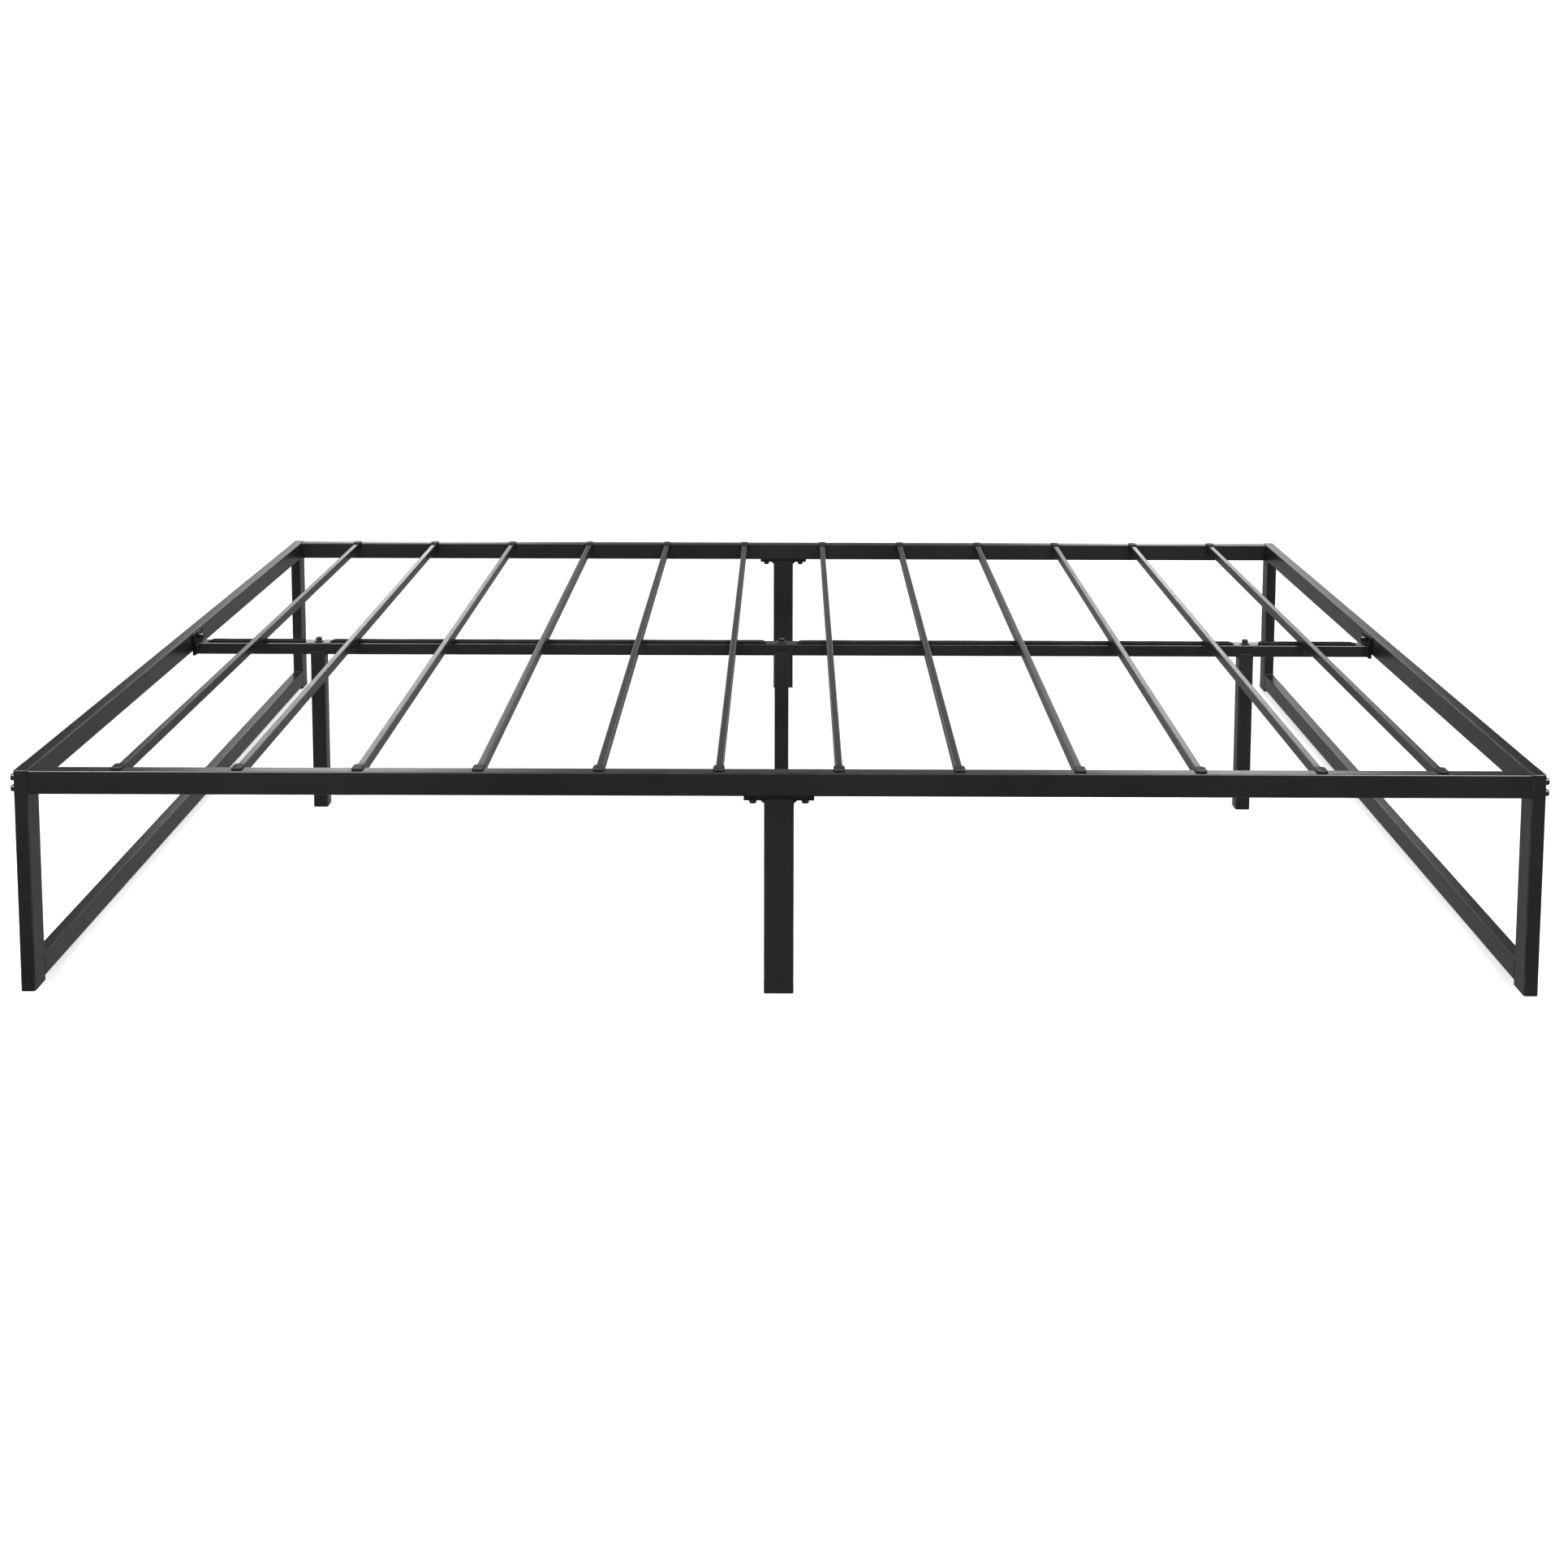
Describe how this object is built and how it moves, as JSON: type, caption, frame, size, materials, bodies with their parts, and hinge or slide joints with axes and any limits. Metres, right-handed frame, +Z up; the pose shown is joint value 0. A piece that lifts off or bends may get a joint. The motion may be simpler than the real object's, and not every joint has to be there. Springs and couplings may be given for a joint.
{
  "type": "metal bed frame",
  "caption": "Low platform bed frame of black square steel tube: two closed end frames, side rails, a centre rail with legs, and slats on edge with plastic caps.",
  "frame": {"origin": "on the floor under the middle of the bed", "axes": "+X along the bed, +Y from the front side rail to the back one, +Z up"},
  "size_m": [2.045, 1.524, 0.3065],
  "materials": {
    "powder_coat": "satin black powder coat with a fine texture",
    "black_zinc": "glossy black zinc on steel fasteners",
    "black_plastic": "moulded black plastic",
    "foam_tape": "dull closed-cell foam tape"
  },
  "bodies": {
    "root": {"left_front_leg": "powder_coat", "left_front_foot_plug": "black_plastic", "left_front_lower_bolt": "black_zinc", "left_front_upper_bolt": "black_zinc", "left_back_leg": "powder_coat", "left_back_foot_plug": "black_plastic", "left_back_lower_bolt": "black_zinc", "left_back_upper_bolt": "black_zinc", "left_end_top_rail": "powder_coat", "left_end_bottom_rail": "powder_coat", "left_centre_bracket": "powder_coat", "left_bracket_bolt": "black_zinc", "right_front_leg": "powder_coat", "right_front_foot_plug": "black_plastic", "right_front_lower_bolt": "black_zinc", "right_front_upper_bolt": "black_zinc", "right_back_leg": "powder_coat", "right_back_foot_plug": "black_plastic", "right_back_lower_bolt": "black_zinc", "right_back_upper_bolt": "black_zinc", "right_end_top_rail": "powder_coat", "right_end_bottom_rail": "powder_coat", "right_centre_bracket": "powder_coat", "right_bracket_bolt": "black_zinc", "front_side_rail": "powder_coat", "front_middle_leg": "powder_coat", "front_middle_foot_plug": "black_plastic", "front_middle_left_bolt": "black_zinc", "front_middle_right_bolt": "black_zinc", "back_side_rail": "powder_coat", "back_middle_leg": "powder_coat", "back_middle_foot_plug": "black_plastic", "back_middle_left_bolt": "black_zinc", "back_middle_right_bolt": "black_zinc", "centre_rail": "powder_coat", "left_centre_leg": "powder_coat", "left_centre_foot_plug": "black_plastic", "left_centre_bolt": "black_zinc", "middle_centre_leg": "powder_coat", "middle_centre_foot_plug": "black_plastic", "middle_centre_bolt": "black_zinc", "right_centre_leg": "powder_coat", "right_centre_foot_plug": "black_plastic", "right_centre_bolt": "black_zinc", "centre_rail_pad_1": "foam_tape", "centre_rail_pad_2": "foam_tape", "centre_rail_pad_3": "foam_tape", "centre_rail_pad_4": "foam_tape", "slat_01": "powder_coat", "slat_02": "powder_coat", "slat_03": "powder_coat", "slat_04": "powder_coat", "slat_05": "powder_coat", "slat_06": "powder_coat", "slat_07": "powder_coat", "slat_08": "powder_coat", "slat_09": "powder_coat", "slat_10": "powder_coat", "slat_11": "powder_coat", "slat_12": "powder_coat"}
  },
  "joints": []
}
